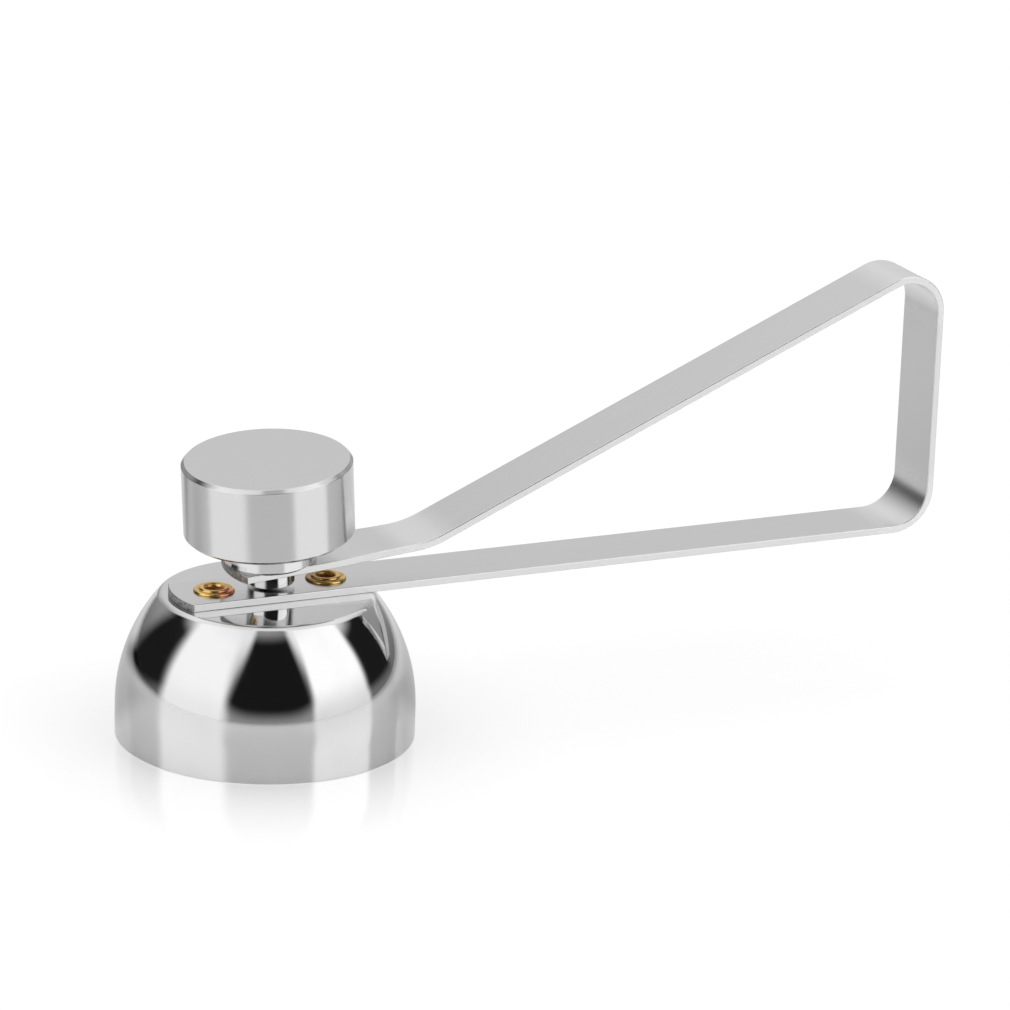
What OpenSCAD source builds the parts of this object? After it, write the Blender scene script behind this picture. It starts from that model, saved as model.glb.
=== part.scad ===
// Spring-strip egg topper: a steel bell with one bent spring strip riveted on its
// flat top. The strip runs out as a handle, back over the bell and carries a hammer:
// a heavy knob, a collar and a striker screw. The knob is pulled up and let go.
//
// Millimetres, +Z up, handle along +X. The origin is on the bell's axis, in the plane
// of its rim, which is the face that the topper stands on.

/* [Bell] */
// Outer diameter of the bell at its rim
bell_d = 40; // [37:0.5:46]
// Height of the bell's flat top above the rim
bell_h = 19.5; // [18:0.5:26]
// Wall thickness of the bell
bell_wall = 1.0; // [0.6:0.1:1.3]
// Height of the straight skirt above the rim
skirt_h = 4; // [2:0.5:7]
// Diameter at which the rounded shoulder meets the dome
shoulder_d = 29.1; // [27.5:0.1:30]
// Drop of the rounded shoulder from the flat top to there
shoulder_drop = 0.45; // [0.3:0.05:0.55]
// Broken outer edge of the rim
rim_break = 0.2; // [0.05:0.05:0.25]

/* [Spring strip] */
// Width of the strip
strip_w = 9.5; // [8.5:0.5:10]
// Thickness of the strip
strip_t = 1.0; // [0.7:0.1:1.2]
// Distance from the bell's axis to the back upright
loop_reach = 96.8; // [80:1:120]
// Height of the handle loop's top corner above the lower leg
loop_h = 38.5; // [32:0.5:46]
// Centreline radius of the bend between lower leg and upright
low_bend_r = 5.5; // [3:0.5:8]
// Centreline radius of the bend between upright and upper leg
top_bend_r = 5; // [3:0.5:7]
// Distance from the bell's axis to the kink in the upper leg
kink_x = 21.3; // [20:0.5:30]
// Centreline radius of the kink
kink_r = 14; // [6:1:20]
// Rise of the arm's end from the hammer to the kink, in degrees
arm_slope = 4.2; // [2:0.2:6]
// Sideways twist of the arm's end, in degrees
arm_twist = 3.2; // [0:0.2:5]
// Distance from the hammer's axis to the arm's cut end
arm_reach = 6.2; // [5.6:0.1:7]
// Radius of the arm's cut end
arm_end_r = 11.5; // [8:0.5:16]
// Distance from the lower leg's cut end to the edge of the flat top
leg_end_inset = 0.5; // [0.3:0.05:1.2]

/* [Hammer] */
// Distance from the bell's axis to the hammer's axis, towards the handle
hammer_x = 0.4; // [0:0.1:1]
// Diameter of the knob
knob_d = 22.6; // [18:0.2:26]
// Height of the knob
knob_h = 10.4; // [8:0.2:14]
// Chamfer of the knob's two edges
knob_chamfer = 0.45; // [0.2:0.05:1]
// Diameter of the collar under the knob
collar_d = 12.3; // [9:0.1:14]
// Height of the collar
collar_h = 3.7; // [3:0.1:6]
// Chamfer of the collar's lower edge
collar_chamfer = 0.3; // [0.1:0.05:0.5]
// Diameter of the striker, the head of the screw that holds the hammer together
striker_d = 6.3; // [5.5:0.1:8]
// Height of the striker under the arm
striker_h = 2.5; // [2.2:0.1:4]
// Radius of the striker's domed face
striker_dome_r = 15; // [10:1:30]
// Diameter of the screw's shank
screw_d = 4; // [3:0.1:4.5]
// Length of the screw inside the knob
screw_grip = 6; // [4:0.5:6.5]

/* [Eyelets] */
// Distance between the two eyelets that hold the strip on the bell
eyelet_pitch = 15.8; // [15.2:0.1:17.5]
// Diameter of the eyelet's flange
eyelet_flange_d = 5.5; // [5:0.1:5.8]
// Thickness of the flange at its edge
eyelet_flange_t = 0.4; // [0.3:0.05:0.45]
// Outer diameter of the rolled ring on the flange
eyelet_ring_d = 4.1; // [3.8:0.1:4.4]
// Height of the rolled ring above the strip
eyelet_proud = 0.6; // [0.55:0.05:0.8]
// Outer diameter of the barrel
eyelet_barrel_d = 3.0; // [2.8:0.1:3.2]
// Diameter of the hole through the eyelet
eyelet_bore_d = 2.4; // [2:0.1:2.5]
// Diameter of the clinched flange inside the bell
eyelet_clinch_d = 4.8; // [4:0.1:5.2]
// Thickness of the clinched flange
eyelet_clinch_t = 0.5; // [0.3:0.05:0.8]

/* [Fits] */
// Gap between the striker and the lower leg at rest
strike_gap = 0.1; // [0.05:0.05:0.5]
// Radial gap in the two round knuckles where the strip flexes
knuckle_gap = 0.05; // [0.03:0.01:0.1]
// Radial gap round the screw in the arm and in the collar
screw_gap = 0.1; // [0.05:0.05:0.2]
// Radial gap round the screw in the knob's threaded hole
thread_gap = 0.03; // [0.02:0.01:0.05]
// Radial gap round the eyelet barrels in the strip and in the bell
barrel_gap = 0.05; // [0.02:0.01:0.1]

/* [Hidden] */
$fn = 96;
steel = [0.80, 0.80, 0.81];
satin_steel = [0.72, 0.72, 0.73];
brass = [0.80, 0.62, 0.28];
arc_steps = 16;
cut_over = 1;        // how far a cutting shape reaches past what it cuts

// Bell
bell_r = bell_d / 2;
foot = [shoulder_d / 2, bell_h - shoulder_drop];
dome_in = bell_r - foot[0];
dome_up = foot[1] - skirt_h;
dome_r = (dome_in * dome_in + dome_up * dome_up) / (2 * dome_in);
dome_c = [bell_r - dome_r, skirt_h];
dome_angle = asin(dome_up / dome_r);
shoulder_r = shoulder_drop / (1 - sin(dome_angle));
shoulder_c = foot - shoulder_r * along(dome_angle);
flat_r = shoulder_c[0];

// Strip: headings in degrees from +X towards +Z, along the strip from the bell
leg_z = bell_h + strip_t / 2;
top_z = leg_z + loop_h;
leg_end_r = flat_r - leg_end_inset;
tilt = sqrt(arm_slope * arm_slope + arm_twist * arm_twist);
dome_dip = striker_dome_r * (1 - cos(tilt));
arm_z = bell_h + strip_t + strike_gap + dome_dip + (striker_h + strip_t / 2) * cos(tilt);
kink_z = arm_z + (kink_x - hammer_x) * tan(arm_slope);
leg_heading = 0;
up_heading = 90;
back_heading = 180 + atan2(top_z - kink_z, loop_reach - kink_x);
end_heading = 180 + arm_slope;
low_corner = [loop_reach, leg_z];
top_corner = [loop_reach, top_z];
kink = [kink_x, kink_z];
low_split = (leg_heading + up_heading) / 2;
top_split = (up_heading + back_heading) / 2;
twist_at = 12;       // along the arm from the hammer's axis, where its end is twisted
twist_lap = 1;       // length that the twisted end shares with the arm, each way

// Unit vectors along a heading and to its left
function along(h) = [cos(h), sin(h)];
function left(h) = [-sin(h), cos(h)];

// Points of an arc about c from angle a0 to a1
function arc(c, r, a0, a1) = [for (i = [0:arc_steps]) c + r * along(a0 + (a1 - a0) * i / arc_steps)];

// Centre of the bend that rounds a corner, and the path's point and heading [x, z, h] in it
function turn_side(h0, h1) = sign(h1 - h0);
function bend_centre(corner, h0, h1, r) =
    corner - r * tan(abs(h1 - h0) / 2) * along(h0) + turn_side(h0, h1) * r * left(h0);
function bend_point(corner, h0, h1, r, h) =
    bend_centre(corner, h0, h1, r) - turn_side(h0, h1) * r * left(h);
function bend_stations(corner, h0, h1, r, from, to) =
    [for (i = [0:arc_steps])
        let (h = from + (to - from) * i / arc_steps)
        let (p = bend_point(corner, h0, h1, r, h))
        [p[0], p[1], h]];

// Outline of a strip that follows the stations, half a thickness to either side
function side_points(stations, offset) =
    [for (s = stations) [s[0], s[1]] + offset * left(s[2])];
function reversed(points) = [for (i = [len(points) - 1:-1:0]) points[i]];
function after_first(points) = [for (i = [1:len(points) - 1]) points[i]];
function strip_outline(stations) =
    concat(side_points(stations, strip_t / 2), reversed(side_points(stations, -strip_t / 2)));

low_knuckle = bend_point(low_corner, leg_heading, up_heading, low_bend_r, low_split);
top_knuckle = bend_point(top_corner, up_heading, back_heading, top_bend_r, top_split);

// Half profile of the bell, drawn in by inset from the outer surface. The dome ends at the
// flat top, in a plain corner, where the inset is larger than the shoulder's rounding.
function bell_half(inset) =
    concat([[bell_r - inset, 0]],
           inset < shoulder_r
               ? concat(arc(dome_c, dome_r - inset, 0, dome_angle),
                        after_first(arc(shoulder_c, shoulder_r - inset, dome_angle, 90)))
               : arc(dome_c, dome_r - inset, 0,
                     asin((bell_h - inset - skirt_h) / (dome_r - inset))),
           [[0, bell_h - inset]]);

// A strip along the stations, strip_w wide
module strip(stations) {
    rotate([90, 0, 0])
        linear_extrude(height = strip_w, center = true)
            polygon(strip_outline(stations));
}

// A round bar across the strip, of radius r, at point p of the path
module crossbar(p, r, width) {
    translate([p[0], 0, p[1]])
        rotate([90, 0, 0])
            cylinder(r = r, h = width, center = true);
}

// The space that the strip's end may fill: a disc of radius r and all that lies beyond it
module end_shape(r, reach, height) {
    cylinder(r = r, h = height, center = true);
    translate([0, -strip_w, -height / 2])
        cube([reach, 2 * strip_w, height]);
}

// The two eyelets' axes
module at_eyelets() {
    for (side = [-1, 1])
        translate([hammer_x + side * eyelet_pitch / 2, 0, 0])
            children();
}

module eyelet_holes() {
    at_eyelets()
        translate([0, 0, bell_h])
            cylinder(d = eyelet_barrel_d + 2 * barrel_gap, h = 4 * (bell_wall + strip_t), center = true);
}

// The hammer's own frame: origin in the middle of the arm, +Z along the hammer's axis
module at_hammer() {
    translate([hammer_x, 0, arm_z])
        rotate([arm_twist, -arm_slope, 0])
            children();
}

// Spun steel bell, open below, with a flat top inside a rounded shoulder
module bell() {
    color(steel)
        difference() {
            rotate_extrude()
                difference() {
                    polygon(concat([[0, 0]], bell_half(0)));
                    polygon(concat([[0, -cut_over], [bell_r - bell_wall, -cut_over]],
                                   bell_half(bell_wall)));
                    polygon([[bell_r - rim_break, 0], [bell_r, rim_break],
                             [bell_r + cut_over, rim_break], [bell_r + cut_over, -cut_over],
                             [bell_r - rim_break, -cut_over]]);
                }
            eyelet_holes();
        }
}

// Lower leg of the spring strip, flat on the bell, up to the middle of the low bend
module lower_leg() {
    color(satin_steel)
        difference() {
            intersection() {
                union() {
                    strip(concat([[-leg_end_r - cut_over, leg_z, leg_heading]],
                                 bend_stations(low_corner, leg_heading, up_heading, low_bend_r,
                                               leg_heading, low_split)));
                    crossbar(low_knuckle, strip_t / 2, strip_w);
                }
                translate([0, 0, leg_z])
                    end_shape(leg_end_r, 2 * loop_reach, 2 * loop_h);
            }
            eyelet_holes();
        }
}

// Back upright of the spring strip, from the low bend's middle to the top bend's middle
module back_upright() {
    color(satin_steel)
        difference() {
            union() {
                strip(concat(bend_stations(low_corner, leg_heading, up_heading, low_bend_r,
                                           low_split, up_heading),
                             bend_stations(top_corner, up_heading, back_heading, top_bend_r,
                                           up_heading, top_split)));
                crossbar(top_knuckle, strip_t / 2, strip_w);
            }
            crossbar(low_knuckle, strip_t / 2 + knuckle_gap, strip_w + cut_over);
        }
}

// Upper leg of the spring strip: down from the top bend, past the kink, to the hammer
module upper_leg() {
    arm_start = [hammer_x, arm_z] - (twist_at - twist_lap) * along(end_heading);
    end_length = arm_reach + cut_over + twist_at + twist_lap;
    color(satin_steel)
        difference() {
            union() {
                strip(concat(bend_stations(top_corner, up_heading, back_heading, top_bend_r,
                                           top_split, back_heading),
                             bend_stations(kink, back_heading, end_heading, kink_r,
                                           back_heading, end_heading),
                             [[arm_start[0], arm_start[1], end_heading]]));
                at_hammer()
                    intersection() {
                        translate([-arm_reach - cut_over, -strip_w / 2, -strip_t / 2])
                            cube([end_length, strip_w, strip_t]);
                        translate([arm_end_r - arm_reach, 0, 0])
                            end_shape(arm_end_r, 2 * twist_at, 2 * strip_t);
                    }
            }
            crossbar(top_knuckle, strip_t / 2 + knuckle_gap, strip_w + cut_over);
            at_hammer()
                cylinder(d = screw_d + 2 * screw_gap, h = 4 * strip_t, center = true);
        }
}

// Two hollow brass eyelets: flange and rolled ring above, barrel, clinched flange below
module eyelets() {
    top = bell_h + strip_t;
    under = bell_h - bell_wall;
    bore_r = eyelet_bore_d / 2;
    roll_r = (eyelet_ring_d - eyelet_bore_d) / 4;
    roll_c = [bore_r + roll_r, top + eyelet_proud - roll_r];
    crease = asin(max(0, eyelet_flange_t - eyelet_proud + roll_r) / roll_r);
    edge_r = eyelet_flange_t / 2;
    edge_c = [eyelet_flange_d / 2 - edge_r, top + edge_r];
    color(brass)
        at_eyelets()
            rotate_extrude()
                polygon(concat([[bore_r, under - eyelet_clinch_t],
                                [eyelet_clinch_d / 2, under - eyelet_clinch_t],
                                [eyelet_clinch_d / 2, under],
                                [eyelet_barrel_d / 2, under],
                                [eyelet_barrel_d / 2, top]],
                               arc(edge_c, edge_r, -90, 70),
                               arc(roll_c, roll_r, crease, 180)));
}

// Polished bush between the arm and the knob
module collar() {
    r = collar_d / 2;
    bore_r = screw_d / 2 + screw_gap;
    foot_z = strip_t / 2;
    color(steel)
        at_hammer()
            rotate_extrude()
                polygon([[bore_r, foot_z], [r - collar_chamfer, foot_z], [r, foot_z + collar_chamfer],
                         [r, foot_z + collar_h], [bore_r, foot_z + collar_h]]);
}

// Heavy turned knob with a blind threaded hole for the striker screw
module knob() {
    r = knob_d / 2;
    bore_r = screw_d / 2 + thread_gap;
    foot_z = strip_t / 2 + collar_h;
    bore_top = foot_z + screw_grip + cut_over;
    color(satin_steel)
        at_hammer()
            rotate_extrude()
                polygon([[bore_r, foot_z], [r - knob_chamfer, foot_z], [r, foot_z + knob_chamfer],
                         [r, foot_z + knob_h - knob_chamfer], [r - knob_chamfer, foot_z + knob_h],
                         [0, foot_z + knob_h], [0, bore_top], [bore_r, bore_top]]);
}

// Striker: the domed head of the screw that passes through arm and collar into the knob
module striker() {
    r = striker_d / 2;
    face_z = -strip_t / 2 - striker_h;
    dome_c = [0, face_z + striker_dome_r];
    edge_angle = asin(r / striker_dome_r);
    shank_top = strip_t / 2 + collar_h + screw_grip;
    color(steel)
        at_hammer()
            rotate_extrude()
                polygon(concat(arc(dome_c, striker_dome_r, -90, -90 + edge_angle),
                               [[r, -strip_t / 2], [screw_d / 2, -strip_t / 2],
                                [screw_d / 2, shank_top], [0, shank_top]]));
}

bell();
lower_leg();
eyelets();
back_upright();
upper_leg();
collar();
knob();
striker();
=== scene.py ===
"""Egg topper: a mirror-polished bell and a looped spring strip that carries a turned knob.

Metres, +Z up, handle along +X; the origin is on the bell's axis, in the plane of its rim.
Every piece is a grid of points: a profile turned about an axis, or the strip's rounded
section carried along its bent centreline. A grid's repeated points are merged, so seams,
poles and ends are closed.
"""
import math

import bmesh
import bpy
import numpy as np
from mathutils import Matrix, Vector


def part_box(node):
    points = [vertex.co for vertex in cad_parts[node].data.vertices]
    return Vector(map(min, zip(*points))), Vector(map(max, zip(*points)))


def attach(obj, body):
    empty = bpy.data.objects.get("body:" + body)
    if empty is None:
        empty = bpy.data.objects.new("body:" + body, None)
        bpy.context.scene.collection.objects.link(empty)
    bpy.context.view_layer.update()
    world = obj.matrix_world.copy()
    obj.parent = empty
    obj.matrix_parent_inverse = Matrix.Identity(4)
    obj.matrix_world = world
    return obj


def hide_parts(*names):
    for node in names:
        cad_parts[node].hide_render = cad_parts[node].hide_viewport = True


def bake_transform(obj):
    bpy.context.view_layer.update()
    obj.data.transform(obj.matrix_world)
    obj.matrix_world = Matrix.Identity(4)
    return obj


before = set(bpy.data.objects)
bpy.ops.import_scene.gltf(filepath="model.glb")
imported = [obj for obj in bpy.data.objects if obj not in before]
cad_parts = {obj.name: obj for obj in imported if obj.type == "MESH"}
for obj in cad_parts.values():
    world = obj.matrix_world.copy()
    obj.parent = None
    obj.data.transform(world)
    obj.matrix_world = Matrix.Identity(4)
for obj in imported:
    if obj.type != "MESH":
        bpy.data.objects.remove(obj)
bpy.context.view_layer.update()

MM = 0.001
MERGE = 1e-7
SHARP = math.radians(35)

# ---------------------------------------------------------------- sizes

bell_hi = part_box("bell")[1]
leg_lo, leg_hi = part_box("lower_leg")
upright_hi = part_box("back_upright")[1]
striker_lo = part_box("striker")[0]

bell_r = bell_hi.x
bell_h = bell_hi.z
bell_wall = 1.0 * MM
skirt_h = 4.0 * MM
flat_r = 14.15 * MM            # where flat top and shoulder's slope would meet
shoulder_fall = math.radians(50)
shoulder_round = 1.2 * MM
rim_round = 0.08 * MM
rim_wear_h = 0.4 * MM          # height up to which the rim is scuffed

strip_w = leg_hi.y - leg_lo.y
strip_t = 1.0 * MM
strip_edge = 0.14 * MM         # rounding of the strip's long edges
low_bend_r = 5.5 * MM
top_bend_r = 5.0 * MM
kink_r = 14.0 * MM
bend_fade = 3.0 * MM           # beside a bend, over which the duller bent surface and its painted highlight end
kink_x = 21.3 * MM
loop_x = upright_hi.x - strip_t / 2
leg_z = bell_h + strip_t / 2
loop_h = 38.5 * MM
leg_end_r = 13.1 * MM
arm_reach = 6.2 * MM           # from the hammer's axis to the arm's cut end
arm_end_r = 11.5 * MM
arm_slope = math.radians(4.2)
arm_twist = math.radians(3.2)
twist_from = 18.0 * MM         # where the arm's twist starts and ends, from the hammer's axis
twist_to = 7.0 * MM
tip_share = 1.3                # of a tip's radius, over which the section is drawn back to it
tip_rings = 6                  # rings in the rounded rim of a tip

hammer_x = 0.4 * MM
knob_r = 11.3 * MM
knob_h = 10.4 * MM
knob_chamfer = 0.45 * MM
collar_r = 6.15 * MM
collar_h = 3.7 * MM
collar_chamfer = 0.3 * MM
striker_r = 3.15 * MM
striker_h = 2.5 * MM
striker_dome_r = 15.0 * MM
screw_r = 2.0 * MM
screw_grip = 6.0 * MM
screw_gap = 0.1 * MM
bore_spare = 1.0 * MM          # depth of the knob's hole past the screw's end
broken_edge = 0.07 * MM        # rounding of the turned pieces' edges

eyelet_pitch = 15.8 * MM
flange_r = 2.75 * MM
flange_t = 0.4 * MM
flange_foot_round = 0.08 * MM
flange_round = 0.3 * MM
groove_h = 0.31 * MM           # height of the groove between flange and ring
groove_round = 0.14 * MM
ring_r = 2.05 * MM
ring_h = 0.6 * MM
ring_lean = 0.1 * MM           # how far the ring's crest leans inwards
ring_round = 0.16 * MM
mouth_round = 0.5 * MM
barrel_r = 1.5 * MM
bore_r = 1.2 * MM
dull_bore_h = 0.3 * MM         # below the ring's crest, over which the bore grows dull
dull_bore_t = 0.35 * MM        # and how far outside the bore's wall that reaches
clinch_r = 2.4 * MM
clinch_t = 0.5 * MM
clinch_round = 0.2 * MM
rivet_hole_r = 1.55 * MM
copper_spot = (-6.3 * MM, -2.2 * MM, bell_h + strip_t + 0.3 * MM)   # where the brass is painted redder
tarnish_spot = (5.9 * MM, 0.4 * MM, bell_h + strip_t + 0.3 * MM)    # and where it has browned

tilt = math.hypot(arm_slope, arm_twist)
arm_z = (striker_lo.z + striker_dome_r * (1 - math.cos(tilt))
         + (striker_h + strip_t / 2) * math.cos(tilt))
kink_z = arm_z + (kink_x - hammer_x) * math.tan(arm_slope)
top_z = leg_z + loop_h
seam_z = (leg_z + top_z) / 2

# The hammer's own frame: origin in the middle of the arm, +Z along the hammer's axis
hammer_turn = Matrix.Rotation(-arm_slope, 3, "Y") @ Matrix.Rotation(arm_twist, 3, "X")
hammer_axes = np.array(hammer_turn)
hammer_at = np.array([hammer_x, 0.0, arm_z])

# ---------------------------------------------------------------- lines and grids


def unit(vectors):
    return vectors / np.linalg.norm(vectors, axis=-1, keepdims=True)


def rounded_line(corners, radii, run_points=14, bend_step=math.radians(4)):
    """Points of a line whose inner corners are rounded by arcs, with heading and bend mask.

    Straight runs are sampled at (1 - cos) / 2, which crowds points towards their ends. An
    arc of radius r about centre c is c - s r n(a), with n the left normal, s the turn's sign.
    The arcs' step is one angle for all corners or a list with one for each.
    """
    corners = np.asarray(corners, float)
    legs = np.diff(corners, axis=0)
    headings = np.unwrap(np.arctan2(legs[:, 1], legs[:, 0]))
    turns = np.diff(headings)
    bend_steps = np.broadcast_to(bend_step, turns.shape)
    cuts = np.concatenate(([0.0], np.asarray(radii, float) * np.tan(np.abs(turns) / 2), [0.0]))
    ahead = unit(legs)
    ease = (1 - np.cos(np.linspace(0, math.pi, run_points))) / 2
    points, angles, bends = [], [], []
    for i in range(len(legs)):
        start = corners[i] + cuts[i] * ahead[i]
        end = corners[i + 1] - cuts[i + 1] * ahead[i]
        points.append(start + np.outer(ease, end - start))
        angles.append(np.full(run_points, headings[i]))
        bends.append(np.zeros(run_points))
        if i < len(turns) and radii[i] > 0:
            steps = max(4, math.ceil(abs(turns[i]) / bend_steps[i]))
            heading = headings[i] + turns[i] * np.linspace(0, 1, steps + 1)
            radius = math.copysign(radii[i], turns[i])
            left = np.array([-ahead[i][1], ahead[i][0]])
            centre = end + radius * left
            normals = np.stack([-np.sin(heading), np.cos(heading)], axis=1)
            points.append(centre - radius * normals)
            angles.append(heading)
            bends.append(np.ones(steps + 1))
    points, angles, bends = np.concatenate(points), np.concatenate(angles), np.concatenate(bends)
    moved = np.linalg.norm(np.diff(points, axis=0), axis=1) > MERGE
    keep = np.concatenate(([True], moved))
    return points[keep], angles[keep], bends[keep]


def beside(corners, distance):
    """Corners of the line that runs beside an open line, at a distance to its right."""
    corners = np.asarray(corners, float)
    ahead = unit(np.diff(corners, axis=0))
    side = distance * np.stack([ahead[:, 1], -ahead[:, 0]], axis=1)
    bisector = side[:-1] + side[1:]
    mitre = bisector * distance ** 2 / (bisector * side[:-1]).sum(axis=1, keepdims=True)
    return np.vstack([corners[:1] + side[:1], corners[1:-1] + mitre, corners[-1:] + side[-1:]])


def distance_along(points):
    steps = np.linalg.norm(np.diff(points, axis=0), axis=1)
    return np.concatenate(([0.0], np.cumsum(steps)))


def quads_outwards(points, quads):
    """The quads, turned so that the solid's signed volume, sum of a . (b x c) / 6, is positive."""
    a, b, c, d = (points[quads[:, k]] for k in range(4))
    volume = (a * np.cross(b, c)).sum() + (a * np.cross(c, d)).sum()
    return quads if volume > 0 else quads[:, ::-1]


def merge_repeats(mesh):
    work = bmesh.new()
    work.from_mesh(mesh)
    bmesh.ops.remove_doubles(work, verts=work.verts, dist=MERGE)
    work.to_mesh(mesh)
    work.free()


def grid_piece(name, points, uv, material, **masks):
    """Closed piece from a grid of points, with uv in metres and its masks as attributes."""
    rows, columns = points.shape[:2]
    flat = points.reshape(-1, 3)
    index = np.arange(rows * columns).reshape(rows, columns)
    quads = np.stack([index[:-1, :-1], index[1:, :-1], index[1:, 1:], index[:-1, 1:]], axis=-1)
    quads = quads_outwards(flat, quads.reshape(-1, 4))
    mesh = bpy.data.meshes.new(name)
    mesh.vertices.add(len(flat))
    mesh.vertices.foreach_set("co", flat.ravel())
    mesh.loops.add(quads.size)
    mesh.loops.foreach_set("vertex_index", quads.ravel().astype(np.int32))
    mesh.polygons.add(len(quads))
    mesh.polygons.foreach_set("loop_start", np.arange(0, quads.size, 4, dtype=np.int32))
    mesh.update(calc_edges=True)
    layer = mesh.uv_layers.new(name="surface")
    layer.data.foreach_set("uv", uv.reshape(-1, 2)[quads.ravel()].ravel())
    for label, mask in masks.items():
        attribute = mesh.attributes.new(label, "FLOAT", "POINT")
        attribute.data.foreach_set("value", np.broadcast_to(mask, (rows, columns)).ravel())
    merge_repeats(mesh)
    mesh.materials.append(material)
    piece = bpy.data.objects.new(name, mesh)
    bpy.context.scene.collection.objects.link(piece)
    return piece


def finish_piece(piece, slot, *nodes):
    """Smooth shading between the piece's sharp edges, and hiding what it replaces; the slot is not
    used.
    """
    mesh = piece.data
    mesh.polygons.foreach_set("use_smooth", np.ones(len(mesh.polygons), bool))
    mesh.set_sharp_from_angle(angle=SHARP)
    mesh.update()
    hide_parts(*nodes)


def turned(name, profile, material, axes=np.eye(3), at=(0, 0, 0), segments=256, **masks):
    """Profile (radius, height, edge mask) carried once round an axis: (r cos a, r sin a, h)."""
    line, _, bend = profile
    angle = np.linspace(0, 2 * math.pi, segments + 1)
    turn = angle % (2 * math.pi)
    radius, height = line[:, :1], line[:, 1:]
    local = np.stack([radius * np.cos(turn), radius * np.sin(turn),
                      height * np.ones_like(angle)], axis=-1)
    uv = np.stack(np.broadcast_arrays(angle * line[:, 0].max(), distance_along(line)[:, None]),
                  axis=-1)
    points = local @ np.asarray(axes).T + np.asarray(at)
    return grid_piece(name, points, uv, material, edge=bend[:, None], **masks)


def strip_section(width, thickness, rounding):
    """Once round the strip's rounded cross-section: across, rise, and edge mask."""
    w, t = width / 2, thickness / 2
    corners = [(0, -t), (w, -t), (w, t), (0, t), (-w, t), (-w, -t), (0, -t)]
    radii = [rounding, rounding, 0, rounding, rounding]
    line, _, bend = rounded_line(corners, radii, run_points=20, bend_step=math.radians(15))
    return line, bend


def strip(name, corners, radii, tip_r, reach=0.0, end_twist=0.0):
    """The strip's section carried along a rounded line in the XZ plane, to its cut tip.

    A point of the section at (v, w) lies at c + v (cos q Y + sin q n) + w (cos q n - sin q Y),
    where c is the centreline, n its normal and q the twist, which grows smoothly up to
    end_twist between two distances from the hammer's axis, reach before the tip. The tip is
    an arc of radius tip_r: each point is drawn back by tip_r - sqrt(tip_r^2 - v^2), in
    proportion over the last stretch. Its rim is rounded by shrinking the section. The first
    and the last ring fold flat onto the middle line, which ends half a thickness short of the
    long edges. The bend mask is 1 in the arcs and fades beside them.
    """
    line, heading, bends = rounded_line(corners, radii, run_points=40,
                                        bend_step=math.radians(2.5))
    section, rounded = strip_section(strip_w, strip_t, strip_edge)
    v, w = section[:, 0], section[:, 1]
    run = distance_along(line)
    to_tip = run[-1] - run
    roll = np.linspace(0, math.pi / 2, tip_rings + 1)[1:]
    advance = np.concatenate((np.zeros(len(line)), strip_edge * np.sin(roll), [strip_edge]))
    shrink = np.concatenate((np.zeros(len(line)), strip_edge * (1 - np.cos(roll)), [strip_edge]))
    fold = np.concatenate((np.ones(len(line) + len(roll)), [0.0]))
    extend = np.concatenate((np.arange(len(line)), np.full(len(roll) + 1, len(line) - 1)))
    heading, to_tip = heading[extend], to_tip[extend]
    ahead = np.stack([np.cos(heading), 0 * heading, np.sin(heading)], axis=1)
    normal = np.stack([np.sin(heading), 0 * heading, -np.cos(heading)], axis=1)
    centre = np.stack([line[:, 0], 0 * run, line[:, 1]], axis=1)[extend]
    share = np.clip((twist_from + reach - to_tip) / (twist_from - twist_to), 0, 1)
    twist = (end_twist * share ** 2 * (3 - 2 * share))[:, None]
    sideways = np.array([0.0, 1.0, 0.0])
    across = np.cos(twist) * sideways + np.sin(twist) * normal
    rise = np.cos(twist) * normal - np.sin(twist) * sideways
    near_tip = np.clip(1 - to_tip / (tip_share * tip_r), 0, 1)[:, None]
    middle = (strip_w - strip_t) / 2
    spread = np.where(fold[:, None] > 0, v, np.clip(v, -middle, middle))
    drawn = near_tip * (strip_edge + tip_r - np.sqrt(tip_r ** 2 - spread ** 2))
    forward = advance[:, None] - drawn
    vv = spread * (1 - shrink[:, None] / (strip_w / 2))
    ww = w * (1 - shrink[:, None] / (strip_t / 2)) * fold[:, None]
    points = (centre[:, None, :] + vv[..., None] * across[:, None, :]
              + ww[..., None] * rise[:, None, :] + forward[..., None] * ahead[:, None, :])
    start = centre[:1, None, :] + vv[-1:, :, None] * across[:1, None, :]
    points = np.concatenate((start, points))
    length = np.concatenate(([run[0]], run[extend] + advance))
    uv = np.stack(np.broadcast_arrays(length[:, None], distance_along(section)), axis=-1)
    at_tip = np.concatenate(([0.0], advance > 0))
    edge = np.maximum(rounded, at_tip[:, None] * (np.abs(w) > 0))
    off_bend = np.abs(run[:, None] - run[bends > 0]).min(axis=1)
    in_bend = np.clip(1 - off_bend / bend_fade, 0, 1)
    in_bend = np.concatenate((in_bend[:1], in_bend[extend]))
    return grid_piece(name, points, uv, SPRING, edge=edge, bend=in_bend[:, None],
                      cut=at_tip[:, None])


def drill(piece, places, radius, low, high):
    """Cuts upright round holes of one radius through a piece, at (x, y) places."""
    for x, y in places:
        corners = [(0, low), (radius, low), (radius, high), (0, high)]
        profile = rounded_line(corners, [0, 0], run_points=2)
        cutter = turned("cutter", profile, piece.data.materials[0], at=(x, y, 0), segments=96)
        cut = piece.modifiers.new("hole", "BOOLEAN")
        cut.operation, cut.solver, cut.object = "DIFFERENCE", "EXACT", cutter
        bpy.context.view_layer.update()
        evaluated = piece.evaluated_get(bpy.context.evaluated_depsgraph_get())
        mesh = bpy.data.meshes.new_from_object(evaluated)
        merge_repeats(mesh)
        piece.modifiers.clear()
        piece.data = mesh
        bpy.data.objects.remove(cutter)


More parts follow.
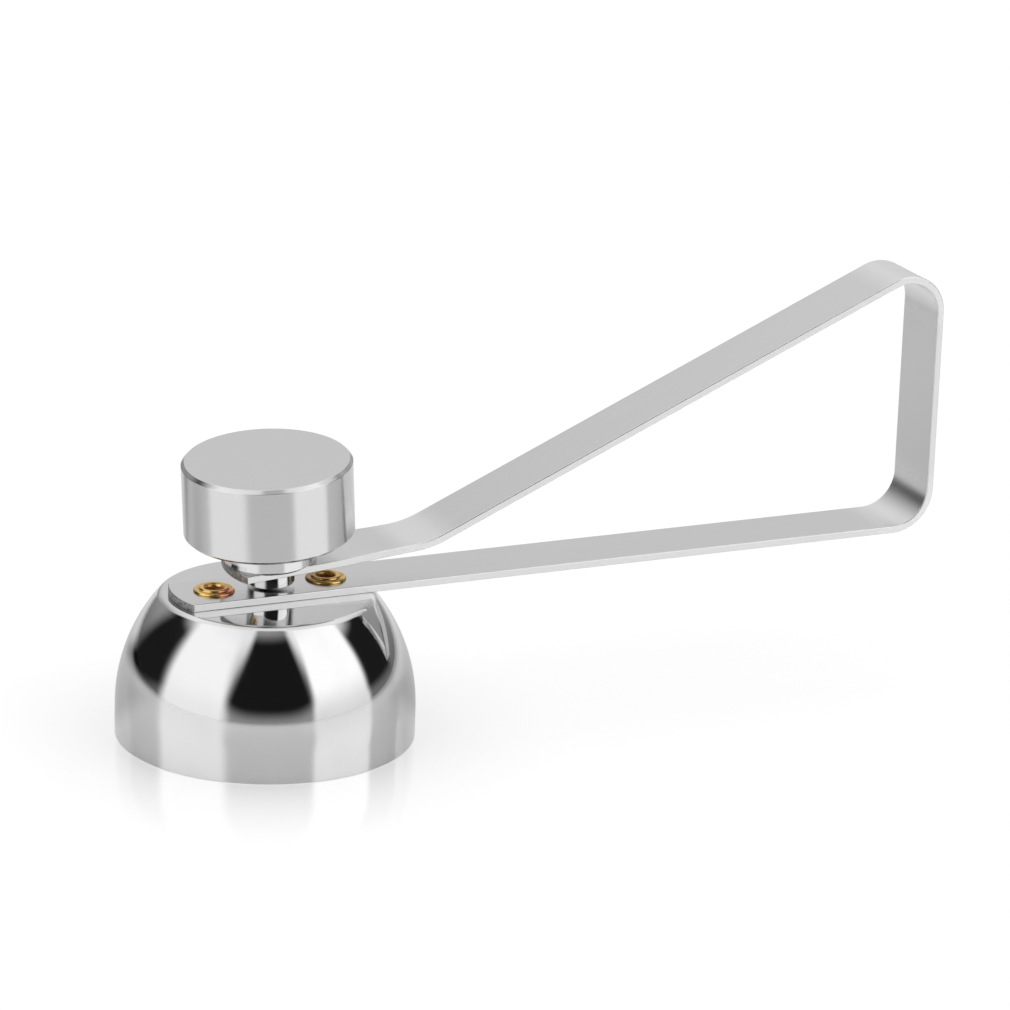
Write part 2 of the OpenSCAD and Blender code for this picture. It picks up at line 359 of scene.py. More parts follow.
# ---------------------------------------------------------------- materials


def put(tree, kind, inputs=(), **settings):
    """Adds a node; an input is a number, a colour or another node's output socket."""
    node = tree.nodes.new(kind)
    for key, value in settings.items():
        setattr(node, key, value)
    items = inputs.items() if isinstance(inputs, dict) else enumerate(inputs)
    for key, value in items:
        if isinstance(value, bpy.types.NodeSocket):
            tree.links.new(value, node.inputs[key])
        else:
            node.inputs[key].default_value = value
    return node


def new_group(name, inputs, outputs):
    tree = bpy.data.node_groups.new(name, "ShaderNodeTree")
    for label, kind in inputs:
        tree.interface.new_socket(name=label, in_out="INPUT", socket_type="NodeSocket" + kind)
    for label, kind in outputs:
        tree.interface.new_socket(name=label, in_out="OUTPUT", socket_type="NodeSocket" + kind)
    return tree, tree.nodes.new("NodeGroupInput").outputs, tree.nodes.new("NodeGroupOutput").inputs


def place_group(tree, group, inputs):
    return put(tree, "ShaderNodeGroup", inputs, node_tree=group).outputs


def maths(tree, operation, *values):
    return put(tree, "ShaderNodeMath", values, operation=operation).outputs[0]


def ramp(tree, value, low, high, out_low, out_high, smooth=True):
    kind = "SMOOTHSTEP" if smooth else "LINEAR"
    return put(tree, "ShaderNodeMapRange", [value, low, high, out_low, out_high],
               interpolation_type=kind).outputs[0]


def mix_colour(tree, factor, first, second):
    """Mix of two colours, which are the node's inputs 6 and 7 and its output 2."""
    return put(tree, "ShaderNodeMix", {0: factor, 6: first, 7: second}, data_type="RGBA").outputs[2]


def mix_values(tree, factor, first, second):
    """Mix of two numbers, which are the node's inputs 2 and 3 and its output 0."""
    return put(tree, "ShaderNodeMix", {0: factor, 2: first, 3: second}, data_type="FLOAT").outputs[0]


middle_of_noise = (0.3, 0.7)   # between which a noise is spread from 0 to 1


def build_grain_group():
    """Fine drawn lines: noise stretched along the first coordinate of the surface."""
    tree, given, out = new_group("drawn grain",
                                 [("Vector", "Vector"), ("Along", "Float"), ("Across", "Float")],
                                 [("Lines", "Float"), ("Height", "Float")])
    fine_share = 0.6
    broad_scale = 0.23
    scale = put(tree, "ShaderNodeCombineXYZ", [given["Along"], given["Across"], given["Across"]])
    vector = put(tree, "ShaderNodeVectorMath", [given["Vector"], scale.outputs[0]],
                 operation="MULTIPLY").outputs[0]
    fine = put(tree, "ShaderNodeTexNoise", {"Vector": vector, "Scale": 1.0, "Detail": 3.0})
    broad = put(tree, "ShaderNodeTexNoise", {"Vector": vector, "Scale": broad_scale, "Detail": 2.0})
    lines = maths(tree, "ADD", maths(tree, "MULTIPLY", fine.outputs[0], fine_share),
                  maths(tree, "MULTIPLY", broad.outputs[0], 1 - fine_share))
    tree.links.new(ramp(tree, lines, *middle_of_noise, 0.0, 1.0), out["Lines"])
    tree.links.new(lines, out["Height"])
    return tree


def build_turning_group():
    """Fine turning marks: rings about Z whose height changes with the radius alone."""
    tree, given, out = new_group("turning marks", [("Vector", "Vector"), ("Pitch", "Float")],
                                 [("Rings", "Float"), ("Height", "Float")])
    flat = put(tree, "ShaderNodeVectorMath", [given["Vector"], (1.0, 1.0, 0.0)],
               operation="MULTIPLY").outputs[0]
    radius = put(tree, "ShaderNodeVectorMath", [flat], operation="LENGTH").outputs["Value"]
    turns = maths(tree, "DIVIDE", radius, given["Pitch"])
    noise = put(tree, "ShaderNodeTexNoise", {"W": turns, "Scale": 1.0, "Detail": 2.0},
                noise_dimensions="1D").outputs[0]
    tree.links.new(ramp(tree, noise, *middle_of_noise, 0.0, 1.0), out["Rings"])
    tree.links.new(noise, out["Height"])
    return tree


def build_haze_group():
    """Handling haze: soft clouds with faint wipe marks in them, 0 clean to 1 dull."""
    wipe_turn = (0.4, 0.2, 0.7)
    wipe_squeeze = (14.0, 1.2, 6.0)
    cloud_edges = (0.4, 0.75)
    least_haze_in_a_wipe = 0.55
    tree, given, out = new_group("handling haze", [("Vector", "Vector"), ("Size", "Float")],
                                 [("Haze", "Float"), ("Waves", "Float")])
    vector = put(tree, "ShaderNodeVectorMath", {0: given["Vector"], "Scale": given["Size"]},
                 operation="SCALE").outputs[0]
    clouds = put(tree, "ShaderNodeTexNoise",
                 {"Vector": vector, "Scale": 1.0, "Detail": 4.0, "Distortion": 0.6})
    wipes = put(tree, "ShaderNodeMapping",
                {"Vector": vector, "Rotation": wipe_turn, "Scale": wipe_squeeze})
    streaks = put(tree, "ShaderNodeTexNoise",
                  {"Vector": wipes.outputs[0], "Scale": 1.0, "Detail": 3.0})
    haze = maths(tree, "MULTIPLY", ramp(tree, clouds.outputs[0], *cloud_edges, 0.0, 1.0),
                 ramp(tree, streaks.outputs[0], *middle_of_noise, least_haze_in_a_wipe, 1.0))
    waves = put(tree, "ShaderNodeTexNoise", {"Vector": vector, "Scale": 0.5, "Detail": 1.0})
    tree.links.new(haze, out["Haze"])
    tree.links.new(waves.outputs[0], out["Waves"])
    return tree


def build_edge_group():
    """Wear of edges: the edge mask, broken up by a fine noise."""
    patch_edges = (0.35, 0.65)
    least_wear = 0.25
    tree, given, out = new_group("edge wear", [("Edge", "Float"), ("Vector", "Vector"),
                                               ("Clean", "Color"), ("Worn", "Color"),
                                               ("Roughness", "Float"), ("Worn Roughness", "Float")],
                                 [("Color", "Color"), ("Roughness", "Float"), ("Wear", "Float")])
    noise = put(tree, "ShaderNodeTexNoise", {"Vector": given["Vector"], "Scale": 900.0,
                                             "Detail": 4.0}).outputs[0]
    patches = ramp(tree, noise, *patch_edges, least_wear, 1.0)
    wear = maths(tree, "MULTIPLY", given["Edge"], patches)
    rough = mix_values(tree, wear, given["Roughness"], given["Worn Roughness"])
    tree.links.new(mix_colour(tree, wear, given["Clean"], given["Worn"]), out["Color"])
    tree.links.new(rough, out["Roughness"])
    tree.links.new(wear, out["Wear"])
    return tree


GRAIN = build_grain_group()
TURNING = build_turning_group()
HAZE = build_haze_group()
EDGE = build_edge_group()


wave_depth = 0.004 * MM        # depth of the soft waves in sheet and bar steel


def grey(level):
    return (level, level, level, 1.0)


def blank_material(name):
    material = bpy.data.materials.new(name)
    material.use_nodes = True
    tree = material.node_tree
    tree.nodes.clear()
    shader = tree.nodes.new("ShaderNodeBsdfPrincipled")
    shader.inputs["Metallic"].default_value = 1.0
    surface = tree.nodes.new("ShaderNodeOutputMaterial")
    tree.links.new(shader.outputs[0], surface.inputs["Surface"])
    places = tree.nodes.new("ShaderNodeTexCoord").outputs
    edge = put(tree, "ShaderNodeAttribute", attribute_name="edge").outputs["Fac"]
    return material, tree, shader, places, edge


def bump(tree, shader, height, depth):
    """Height in units of depth, in metres, felt through the shader's normal."""
    node = put(tree, "ShaderNodeBump", {"Height": height, "Distance": depth, "Strength": 1.0})
    tree.links.new(node.outputs[0], shader.inputs["Normal"])


def polished_steel(name, level, roughness, haze_gain):
    """Mirror-polished steel: handling haze, spin marks about Z and scuffed edges."""
    haze_loss = 0.035
    edge_gain = 0.03
    edge_roughness = 0.05
    mark_share = 0.03
    material, tree, shader, places, edge = blank_material(name)
    haze = place_group(tree, HAZE, {"Vector": places["Object"], "Size": 160.0})
    marks = place_group(tree, TURNING, {"Vector": places["Object"], "Pitch": 0.22 * MM})
    rough = maths(tree, "MULTIPLY_ADD", haze["Haze"], haze_gain, roughness)
    colour = mix_colour(tree, haze["Haze"], grey(level), grey(level - haze_loss))
    worn = place_group(tree, EDGE, {"Edge": edge, "Vector": places["Object"], "Clean": colour,
                                    "Worn": grey(level + edge_gain), "Roughness": rough,
                                    "Worn Roughness": roughness + edge_roughness})
    tree.links.new(worn["Color"], shader.inputs["Base Color"])
    tree.links.new(worn["Roughness"], shader.inputs["Roughness"])
    height = maths(tree, "MULTIPLY_ADD", marks["Height"], mark_share, haze["Waves"])
    bump(tree, shader, height, wave_depth)
    return material


def spring_steel():
    """Rolled strip: fine lines along its length, worn edges, dull bends with a painted highlight
    that makes them paler, torn ends painted dark grey, partly their own grey and partly painted
    shade.
    """
    base_roughness = 0.16
    line_roughness = 0.05
    haze_roughness = 0.05
    bend_roughness = 0.13
    cut_roughness = 0.25
    line_share = 0.12
    tear_edges = (0.35, 0.6)
    material, tree, shader, places, edge = blank_material("satin spring steel")
    haze = place_group(tree, HAZE, {"Vector": places["Object"], "Size": 110.0})
    grain = place_group(tree, GRAIN, {"Vector": places["UV"], "Along": 160.0, "Across": 9000.0})
    bend = put(tree, "ShaderNodeAttribute", attribute_name="bend").outputs["Fac"]
    cut = put(tree, "ShaderNodeAttribute", attribute_name="cut").outputs["Fac"]
    rough = maths(tree, "MULTIPLY_ADD", haze["Haze"], haze_roughness, base_roughness)
    rough = maths(tree, "MULTIPLY_ADD", grain["Lines"], line_roughness, rough)
    rough = maths(tree, "MULTIPLY_ADD", bend, bend_roughness, rough)
    colour = mix_colour(tree, grain["Lines"], grey(0.735), grey(0.765))
    # painted highlight: the bends are painted paler, standing in for their brighter reflection
    colour = mix_colour(tree, bend, colour, grey(0.86))
    worn = place_group(tree, EDGE, {"Edge": edge, "Vector": places["Object"], "Clean": colour,
                                    "Worn": grey(0.84), "Roughness": rough,
                                    "Worn Roughness": 0.22})
    torn = put(tree, "ShaderNodeTexNoise", {"Vector": places["Object"], "Scale": 2600.0,
                                            "Detail": 3.0}).outputs[0]
    tears = ramp(tree, torn, *tear_edges, 0.0, 1.0)
    # The cut ends are painted dark grey: partly the torn cut's own dull grey, partly painted shade
    # for the end face's darker reflection.
    torn_grey_and_painted_shade = mix_colour(tree, tears, grey(0.26), grey(0.50))
    tree.links.new(mix_colour(tree, cut, worn["Color"], torn_grey_and_painted_shade), shader.inputs["Base Color"])
    tree.links.new(maths(tree, "MULTIPLY_ADD", cut, cut_roughness, worn["Roughness"]),
                   shader.inputs["Roughness"])
    height = maths(tree, "MULTIPLY_ADD", grain["Height"], line_share, haze["Waves"])
    bump(tree, shader, height, wave_depth)
    return material


def turned_steel():
    """Fine-turned knob: rings on its faces, lines round its side, bright-cut chamfers."""
    base_roughness = 0.11
    haze_roughness = 0.05
    mark_roughness = 0.10
    mark_depth = 0.0012 * MM
    material, tree, shader, places, edge = blank_material("fine-turned steel")
    centred = put(tree, "ShaderNodeMapping",
                  {"Vector": places["Object"], "Location": tuple(hammer_at),
                   "Rotation": tuple(hammer_turn.to_euler())}, vector_type="TEXTURE").outputs[0]
    rings = place_group(tree, TURNING, {"Vector": centred, "Pitch": 0.10 * MM})
    lines = place_group(tree, GRAIN, {"Vector": places["UV"], "Along": 30.0, "Across": 7000.0})
    haze = place_group(tree, HAZE, {"Vector": places["Object"], "Size": 130.0})
    marks = maths(tree, "MULTIPLY", rings["Height"], lines["Height"])
    rough = maths(tree, "MULTIPLY_ADD", haze["Haze"], haze_roughness, base_roughness)
    rough = maths(tree, "MULTIPLY_ADD", marks, mark_roughness, rough)
    colour = mix_colour(tree, marks, grey(0.72), grey(0.77))
    worn = place_group(tree, EDGE, {"Edge": edge, "Vector": places["Object"], "Clean": colour,
                                    "Worn": grey(0.86), "Roughness": rough,
                                    "Worn Roughness": 0.10})
    tree.links.new(worn["Color"], shader.inputs["Base Color"])
    tree.links.new(worn["Roughness"], shader.inputs["Roughness"])
    bump(tree, shader, marks, mark_depth)
    return material


bright_brass = (0.86, 0.50, 0.17, 1.0)
rubbed_brass = (0.90, 0.64, 0.22, 1.0)
tarnished_brass = (0.50, 0.24, 0.07, 1.0)
# red colour painted in a patch round copper_spot
red_patch_brass = (0.72, 0.24, 0.15, 1.0)
browned_brass = (0.22, 0.10, 0.05, 1.0)


def rolled_brass():
    """Rolled brass: tarnish in patches, turned lines, bright worn edges and a dull bore."""
    base_roughness = 0.14
    haze_roughness = 0.15
    line_roughness = 0.08
    bore_roughness = 0.5
    spot_core = 0.6 * MM
    mark_depth = 0.012 * MM
    material, tree, shader, places, edge = blank_material("rolled brass")
    haze = place_group(tree, HAZE, {"Vector": places["Object"], "Size": 700.0})
    marks = place_group(tree, GRAIN, {"Vector": places["UV"], "Along": 500.0, "Across": 6000.0})
    clean = mix_colour(tree, haze["Haze"], bright_brass, tarnished_brass)
    bore = put(tree, "ShaderNodeAttribute", attribute_name="bore").outputs["Fac"]
    rough = maths(tree, "MULTIPLY_ADD", haze["Haze"], haze_roughness, base_roughness)
    rough = maths(tree, "MULTIPLY_ADD", marks["Lines"], line_roughness, rough)
    rough = maths(tree, "MULTIPLY_ADD", bore, bore_roughness, rough)
    worn = place_group(tree, EDGE, {"Edge": edge, "Vector": places["Object"], "Clean": clean,
                                    "Worn": rubbed_brass, "Roughness": rough,
                                    "Worn Roughness": 0.2})
    colour = worn["Color"]
    for spot, reach, weight, tint in ((copper_spot, 2.2 * MM, 0.85, red_patch_brass),
                                      (tarnish_spot, 2.8 * MM, 0.75, browned_brass)):
        off = put(tree, "ShaderNodeVectorMath", [places["Object"], spot], operation="DISTANCE")
        share = ramp(tree, off.outputs["Value"], spot_core, reach, weight, 0.0)
        colour = mix_colour(tree, share, colour, tint)
    tree.links.new(colour, shader.inputs["Base Color"])
    tree.links.new(worn["Roughness"], shader.inputs["Roughness"])
    height = maths(tree, "ADD", marks["Height"], haze["Waves"])
    bump(tree, shader, height, mark_depth)
    return material


MIRROR = polished_steel("mirror-polished steel", 0.80, 0.045, 0.05)
BUSH = polished_steel("polished bush steel", 0.80, 0.05, 0.06)
SPRING = spring_steel()
TURNED = turned_steel()
BRASS = rolled_brass()

# ---------------------------------------------------------------- pieces


def make_bell():
    """Flat top, rounded shoulder and dome down to the rim, then back up inside the wall.

    The shoulder's slope, at angle q, would meet the upright side at z = h - (r - flat) tan q.
    The dome rounds that corner and ends at the skirt: its radius is
    (z - skirt) / tan((90 deg - q) / 2).
    """
    side_z = bell_h - (bell_r - flat_r) * math.tan(shoulder_fall)
    dome_r = (side_z - skirt_h) / math.tan((math.pi / 2 - shoulder_fall) / 2)
    outer = np.array([(0, bell_h), (flat_r, bell_h), (bell_r, side_z), (bell_r, 0)])
    inner = beside(outer, bell_wall)[::-1]
    inner[-1, 0] = 0
    radii = [shoulder_round, dome_r, rim_round, rim_round, dome_r - bell_wall,
             shoulder_round - bell_wall]
    steps = np.radians([2, 1.2, 10, 10, 2, 5])
    line = rounded_line(np.vstack([outer, inner]), radii, run_points=18, bend_step=steps)[0]
    rim = np.clip(1 - line[:, 1] / rim_wear_h, 0, 1)
    bell = turned("bell_spun", (line, None, rim), MIRROR, segments=384)
    drill(bell, rivets(), rivet_hole_r, bell_h - 3 * bell_wall, bell_h + bell_wall)
    finish_piece(bell, "bell_steel", "bell")
    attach(bell, "bell_body")


def rivets():
    return [(hammer_x + side * eyelet_pitch / 2, 0.0) for side in (-1, 1)]


def make_strip():
    """The bent strip in two lengths that meet in the upright."""
    seam = (loop_x, seam_z)
    low, top = (loop_x, leg_z), (loop_x, top_z)
    kink = (kink_x, kink_z)
    leg_tip = (-leg_end_r, leg_z)
    arm_tip = (hammer_x - arm_reach * math.cos(arm_slope), arm_z - arm_reach * math.sin(arm_slope))
    lower = strip("strip_lower", [seam, low, leg_tip], [low_bend_r], leg_end_r)
    upper = strip("strip_upper", [seam, top, kink, arm_tip], [top_bend_r, kink_r],
                  arm_end_r, arm_reach, arm_twist)
    drill(lower, rivets(), rivet_hole_r, leg_z - strip_t, leg_z + strip_t)
    finish_piece(lower, "strip_steel", "lower_leg")
    finish_piece(upper, "strip_steel", "back_upright", "upper_leg")
    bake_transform(lower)
    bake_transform(upper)


def make_hammer():
    """Knob, collar and striker, each turned about the hammer's axis."""
    foot = strip_t / 2
    waist = foot + collar_h
    top = waist + knob_h
    hole = screw_r + screw_gap
    drill_top = waist + screw_grip + bore_spare
    fine = broken_edge
    knob_line = rounded_line(
        [(0, drill_top), (screw_r, drill_top), (screw_r, waist), (knob_r - knob_chamfer, waist),
         (knob_r, waist + knob_chamfer), (knob_r, top - knob_chamfer),
         (knob_r - knob_chamfer, top), (0, top)],
        [0, 0, fine, fine, fine, fine], run_points=24, bend_step=math.radians(12))
    knob = turned("knob_turned", knob_line, TURNED, hammer_axes, hammer_at, segments=320)
    middle = (foot + waist) / 2
    collar_line = rounded_line(
        [(hole, middle), (hole, foot), (collar_r - collar_chamfer, foot),
         (collar_r, foot + collar_chamfer), (collar_r, waist), (hole, waist), (hole, middle)],
        [0, fine, 2 * fine, 0, 0], run_points=16, bend_step=math.radians(12))
    collar = turned("collar_turned", collar_line, BUSH, hammer_axes, hammer_at, segments=256)
    face = -foot - striker_h
    edge_angle = math.asin(striker_r / striker_dome_r)
    half = striker_dome_r * math.tan(edge_angle / 2)
    rise = striker_dome_r * (1 - math.cos(edge_angle))
    ease = 2 * fine
    shank_top = waist + screw_grip
    striker_line = rounded_line(
        [(0, face), (half, face), (striker_r, face + rise), (striker_r, -foot),
         (screw_r, -foot), (screw_r, shank_top), (0, shank_top)],
        [(half - ease) / math.tan(edge_angle / 2), ease, 0, 0, 0],
        run_points=12, bend_step=math.radians(1.5))
    striker = turned("striker_turned", striker_line, BUSH, hammer_axes, hammer_at, segments=192)
    finish_piece(knob, "knob_steel", "knob")
    finish_piece(collar, "polished_steel", "collar")
    finish_piece(striker, "polished_steel", "striker")
    for piece in (knob, collar, striker):
        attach(piece, "hammer_arm")


def make_eyelets():
    """Brass eyelets: rolled flange, low flared ring, barrel and a clinched flange underneath."""
    top = bell_h + strip_t
    under = bell_h - bell_wall
    middle = (top + under) / 2
    corners = [(barrel_r, middle), (barrel_r, top), (flange_r, top), (flange_r, top + flange_t),
               (ring_r, top + groove_h), (ring_r - ring_lean, top + ring_h),
               (bore_r, top + ring_h), (bore_r, under - clinch_t), (clinch_r, under - clinch_t),
               (clinch_r, under), (barrel_r, under), (barrel_r, middle)]
    radii = [0, flange_foot_round, flange_round, groove_round, ring_round, mouth_round,
             clinch_round, clinch_round, clinch_round, 0]
    line = rounded_line(corners, radii, run_points=8, bend_step=math.radians(8))
    radius, height = line[0].T
    bore = np.clip((top + ring_h - height) / dull_bore_h, 0, 1) * (radius < bore_r + dull_bore_t)
    for side, (x, y) in zip(("left", "right"), rivets()):
        eyelet = turned("eyelet_" + side, line, BRASS, at=(x, y, 0), segments=128,
                        bore=bore[:, None])
        finish_piece(eyelet, "eyelet_brass", "eyelets")
        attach(eyelet, "bell_body")


# ---------------------------------------------------------------- studio

camera_azimuth = math.radians(24.55)   # heading of the view, from +Y towards +X
camera_elevation = math.radians(17.87)
camera_roll = math.radians(1.87)
camera_distance = 625.62 * MM
camera_aim = (32.03 * MM, 30.01 * MM)  # right and up of the bell's axis at the rim
focal_px, frame_px = 4689.27, 1010


def make_camera():
    """Camera on the far side of the aim point, turned by the view's heading and roll."""
    heading = Vector((math.sin(camera_azimuth) * math.cos(camera_elevation),
                      math.cos(camera_azimuth) * math.cos(camera_elevation),
                      -math.sin(camera_elevation)))
    level = heading.cross(Vector((0, 0, 1))).normalized()
    upright = level.cross(heading)
    right = math.cos(camera_roll) * level + math.sin(camera_roll) * upright
    up = math.cos(camera_roll) * upright - math.sin(camera_roll) * level
    place = camera_aim[0] * right + camera_aim[1] * up - camera_distance * heading
    data = bpy.data.cameras.new("camera")
    data.sensor_width = 36
    data.lens = data.sensor_width * focal_px / frame_px
    camera = bpy.data.objects.new("camera", data)
    rotation = Matrix((right, up, -heading)).transposed()
    camera.matrix_world = Matrix.Translation(place) @ rotation.to_4x4()
    bpy.context.scene.collection.objects.link(camera)
    bpy.context.scene.camera = camera


CARD_SHAPE = ("Centre", "Half Width", "Lean", "Taper", "Foot", "Foot Slope", "Foot Rise", "Head",
              "Side Softness", "Foot Softness", "Head Softness")


def build_card_group():
    """A card or softbox in the room: 1 inside its sides, foot and head, all in degrees.

    With height h its middle lies at centre + lean h and its sides half width + taper h from
    there; its foot lies at foot + slope (azimuth - centre) + rise (off / half width)^4.
    """
    labels = [(label, "Float") for label in ("Azimuth", "Height") + CARD_SHAPE]
    tree, given, out = new_group("studio card", labels, [("Mask", "Float")])
    azimuth, height = given["Azimuth"], given["Height"]

    def step(value, at, soft, before, after):
        return ramp(tree, value, maths(tree, "SUBTRACT", at, soft), maths(tree, "ADD", at, soft),
                    before, after)

    middle = maths(tree, "MULTIPLY_ADD", height, given["Lean"], given["Centre"])
    half = maths(tree, "MULTIPLY_ADD", height, given["Taper"], given["Half Width"])
    off = maths(tree, "ABSOLUTE", maths(tree, "SUBTRACT", azimuth, middle))
    beside_centre = maths(tree, "SUBTRACT", azimuth, given["Centre"])
    low = maths(tree, "MULTIPLY_ADD", beside_centre, given["Foot Slope"], given["Foot"])
    spread = maths(tree, "POWER", maths(tree, "DIVIDE", off, half), 4.0)
    low = maths(tree, "MULTIPLY_ADD", spread, given["Foot Rise"], low)
    sides = step(off, half, given["Side Softness"], 1.0, 0.0)
    foot = step(height, low, given["Foot Softness"], 0.0, 1.0)
    head = step(height, given["Head"], given["Head Softness"], 1.0, 0.0)
    tree.links.new(maths(tree, "MULTIPLY", sides, maths(tree, "MULTIPLY", foot, head)), out["Mask"])
    return tree


# The room seen from the object, in degrees: azimuth from the camera's side to the picture's
# right, height above the table. A shape follows CARD_SHAPE; then come its light levels at the
# table's height and from 20 degrees up.
dark_gap_left = (-109.5, 24, 0.3, -0.3, -2.3, 0.24, 0, 37, 7, 4, 6)
studio_cards = [
    ((-56, 28.5, 0, 0, -90, 0, 0, 54, 6, 1, 10), 1.00, 1.12),     # softbox on the left
    ((66, 25.5, 0, 0, -90, 0, 0, 56, 3, 1, 10), 0.86, 1.24),      # softbox on the right
    # dark room behind the camera
    ((6.3, 37.8, 0.05, -0.28, 3.6, 0, 6.5, 62, 5, 5.8, 12), 0.01, 0.01),
    (dark_gap_left, 0.012, 0.012),
    ((107.5, 16.5, 0, 0, 3, -0.08, 0, 36, 4.5, 3, 5), 0.012, 0.012),  # dark gap on the right
]
wall_levels = (0.32, 0.665)            # of the side walls and the back wall
wall_turn = (132.0, 172.0)             # azimuths between which one becomes the other
front_floor_turn = (40.0, 60.0)        # azimuths between which the side walls' foot darkens
back_floor_turn = (160.0, 178.0)       # and between which the back wall's foot brightens
floor_shares = (1.0, 0.5, 1.4)         # light at the foot of the front, side and back walls
floor_heights = (-2.0, 16.0)           # heights between which the foot's share ends
ceiling_turn = (16.0, 56.0)            # heights between which walls become ceiling
zenith_turn = (52.0, 80.0)
ceiling_levels = (0.97, 0.82)          # of the ceiling's side and its middle
card_heights = (0.0, 20.0)             # heights of a card's two light levels

table_reach = 4.0
table_drop = 0.02 * MM
table_matt = 0.30                      # what shows the object's shadow to the camera
table_glow = 0.80                      # what brings the lit table up to white for the camera
image_share = 0.27
image_roughness = 0.06
image_reach = (21 * MM, 46 * MM)
paper_levels = (0.84, 0.36)            # painted paper shade, near the object and away from it
gloss_levels = (0.30, 0.65)
gloss_roughness = 0.05
away_reach = (0.05, 0.6)
shade_middle = 8.0                     # azimuth opposite to the middle of the shade behind
shade_turn = (88.0, 112.0)
shade_reach = (0.04, 0.15)
shade_shares = (0.25, 0.02)
eye_height = 12 * MM                   # height from which the left gap on the table is seen
gap_reach = (0.12, 0.3)
gap_shares = (0.3, 0.02)


def place_card(tree, card, azimuth, height, shape):
    values = dict(zip(CARD_SHAPE, shape))
    values.update(Azimuth=azimuth, Height=height)
    return place_group(tree, card, values)["Mask"]


def azimuth_of(tree, way):
    """Angle about the vertical, in degrees, from the camera's side to the picture's right."""
    front = (-math.sin(camera_azimuth), -math.cos(camera_azimuth), 0.0)
    right = (math.cos(camera_azimuth), -math.sin(camera_azimuth), 0.0)
    to_front = put(tree, "ShaderNodeVectorMath", [way, front], operation="DOT_PRODUCT")
    to_right = put(tree, "ShaderNodeVectorMath", [way, right], operation="DOT_PRODUCT")
    return maths(tree, "DEGREES", maths(tree, "ARCTAN2", to_right.outputs["Value"],
                                        to_front.outputs["Value"]))


def make_world(card):
    """White to the camera; a soft studio with two softboxes to everything else."""
    world = bpy.data.worlds.new("studio")
    bpy.context.scene.world = world
    world.use_nodes = True
    tree = world.node_tree
    tree.nodes.clear()
    way = tree.nodes.new("ShaderNodeTexCoord").outputs["Generated"]
    azimuth = azimuth_of(tree, way)
    rise = put(tree, "ShaderNodeSeparateXYZ", [way]).outputs[2]
    height = maths(tree, "DEGREES", maths(tree, "ARCSINE", rise))
    from_front = maths(tree, "ABSOLUTE", azimuth)
    walls = ramp(tree, from_front, *wall_turn, *wall_levels)
    front_foot, side_foot, back_foot = floor_shares
    foot = ramp(tree, from_front, *front_floor_turn, front_foot, side_foot)
    foot = ramp(tree, from_front, *back_floor_turn, foot, back_foot)
    walls = maths(tree, "MULTIPLY", walls, ramp(tree, height, *floor_heights, foot, 1.0))
    ceiling = ramp(tree, height, *zenith_turn, *ceiling_levels)
    level = mix_values(tree, ramp(tree, height, *ceiling_turn, 0.0, 1.0), walls, ceiling)
    for shape, low_light, high_light in studio_cards:
        light = ramp(tree, height, *card_heights, low_light, high_light)
        level = mix_values(tree, place_card(tree, card, azimuth, height, shape), level, light)
    room = put(tree, "ShaderNodeBackground", {"Color": (1, 1, 1, 1), "Strength": level})
    white = put(tree, "ShaderNodeBackground", {"Color": (1, 1, 1, 1), "Strength": 1.0})
    seen = tree.nodes.new("ShaderNodeLightPath").outputs["Is Camera Ray"]
    both = put(tree, "ShaderNodeMixShader", [seen, room.outputs[0], white.outputs[0]])
    tree.links.new(both.outputs[0], tree.nodes.new("ShaderNodeOutputWorld").inputs["Surface"])


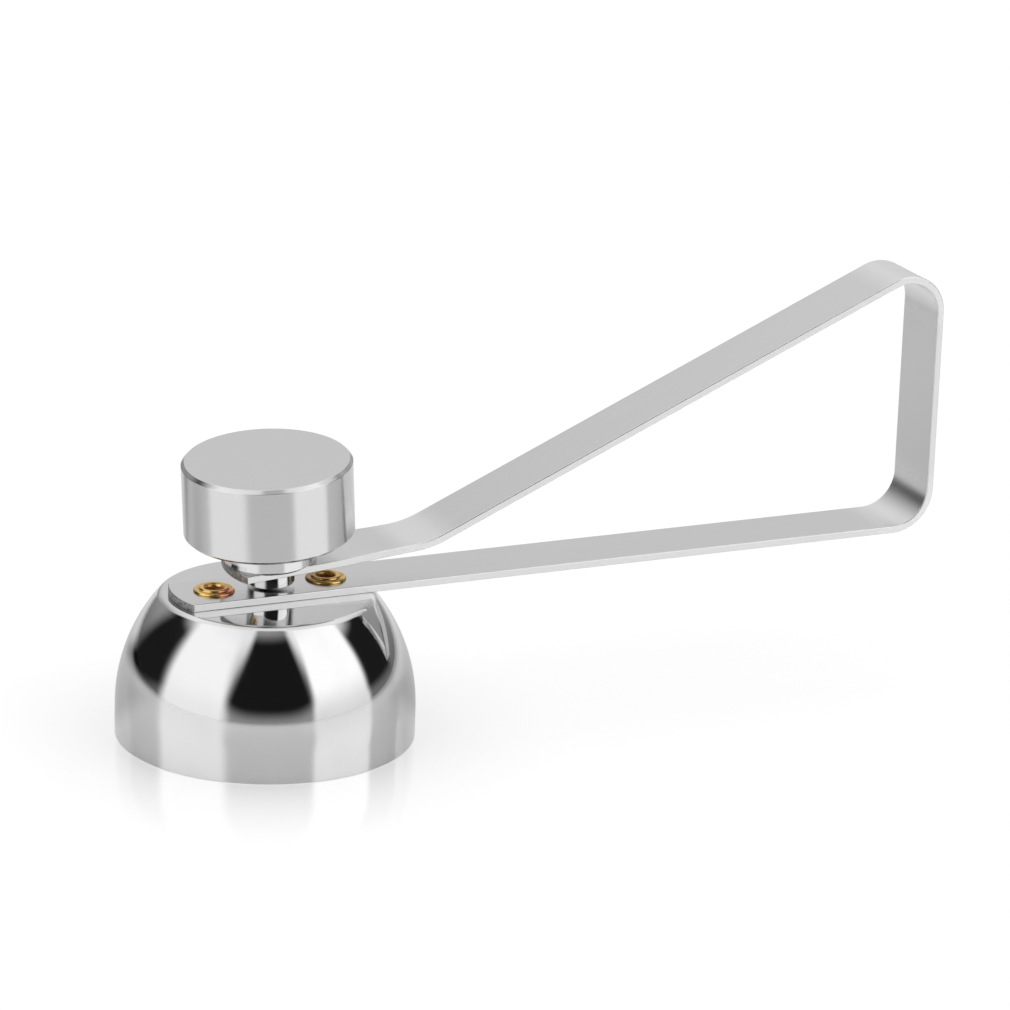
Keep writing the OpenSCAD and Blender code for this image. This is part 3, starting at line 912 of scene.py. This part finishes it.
def make_floor(card):
    """White gloss table: to the camera white, with the object's shadow and mirror image.

    The image's share falls from 1 beside the bell to 0, as the square of the distance still
    to go. Other rays meet paper painted darker and gloss painted stronger away from the object,
    both painted darker behind it as painted shade, and the dark gap on the left painted on below the
    horizon.
    """
    mesh = bpy.data.meshes.new("table")
    mesh.from_pydata([(x * table_reach, y * table_reach, -table_drop)
                      for x, y in ((-1, -1), (1, -1), (1, 1), (-1, 1))], [], [(0, 1, 2, 3)])
    table = bpy.data.objects.new("table", mesh)
    bpy.context.scene.collection.objects.link(table)
    material = bpy.data.materials.new("white gloss table")
    material.use_nodes = True
    tree = material.node_tree
    tree.nodes.clear()
    place = tree.nodes.new("ShaderNodeTexCoord").outputs["Object"]
    distance = put(tree, "ShaderNodeVectorMath", [place], operation="LENGTH").outputs["Value"]
    near = maths(tree, "POWER", ramp(tree, distance, *image_reach, 1.0, 0.0, smooth=False), 2.0)
    matt = put(tree, "ShaderNodeBsdfDiffuse", {"Color": grey(table_matt)})
    image = put(tree, "ShaderNodeBsdfGlossy",
                {"Color": mix_colour(tree, near, grey(0.0), grey(image_share)),
                 "Roughness": image_roughness})
    white = mix_values(tree, near, table_glow, table_glow - image_share)
    glow = put(tree, "ShaderNodeEmission", {"Color": grey(1.0), "Strength": white})
    shown = put(tree, "ShaderNodeAddShader", [matt.outputs[0], image.outputs[0]])
    shown = put(tree, "ShaderNodeAddShader", [shown.outputs[0], glow.outputs[0]])
    dip = maths(tree, "DEGREES", maths(tree, "ARCTAN2", -eye_height, distance))
    gap = place_card(tree, card, azimuth_of(tree, place), dip, dark_gap_left)
    away = ramp(tree, distance, *away_reach, 0.0, 1.0)
    turn = maths(tree, "SUBTRACT", azimuth_of(tree, place), shade_middle)
    behind = ramp(tree, maths(tree, "ABSOLUTE", turn), *shade_turn, 0.0, 1.0)
    shade = maths(tree, "MULTIPLY", behind, ramp(tree, distance, *shade_reach, *shade_shares))
    # painted shade: the paper's and the gloss's colours are darkened behind the object and in the
    # left gap
    lit = maths(tree, "SUBTRACT", 1.0, shade)
    left_light = ramp(tree, distance, *gap_reach, *gap_shares)
    lit = maths(tree, "MULTIPLY", lit, mix_values(tree, gap, 1.0, left_light))
    paper_level = maths(tree, "MULTIPLY", mix_values(tree, away, *paper_levels), lit)
    gloss_level = maths(tree, "MULTIPLY", mix_values(tree, away, *gloss_levels), lit)
    paper = put(tree, "ShaderNodeBsdfDiffuse",
                {"Color": mix_colour(tree, paper_level, grey(0.0), grey(1.0))})
    gloss = put(tree, "ShaderNodeBsdfGlossy",
                {"Color": mix_colour(tree, gloss_level, grey(0.0), grey(1.0)),
                 "Roughness": gloss_roughness})
    real = put(tree, "ShaderNodeAddShader", [paper.outputs[0], gloss.outputs[0]])
    seen = tree.nodes.new("ShaderNodeLightPath").outputs["Is Camera Ray"]
    both = put(tree, "ShaderNodeMixShader", [seen, real.outputs[0], shown.outputs[0]])
    tree.links.new(both.outputs[0], tree.nodes.new("ShaderNodeOutputMaterial").inputs["Surface"])
    mesh.materials.append(material)


bpy.context.scene.view_settings.view_transform = "Standard"
make_camera()
CARD = build_card_group()
make_world(CARD)
make_floor(CARD)
make_bell()
make_strip()
make_hammer()
make_eyelets()
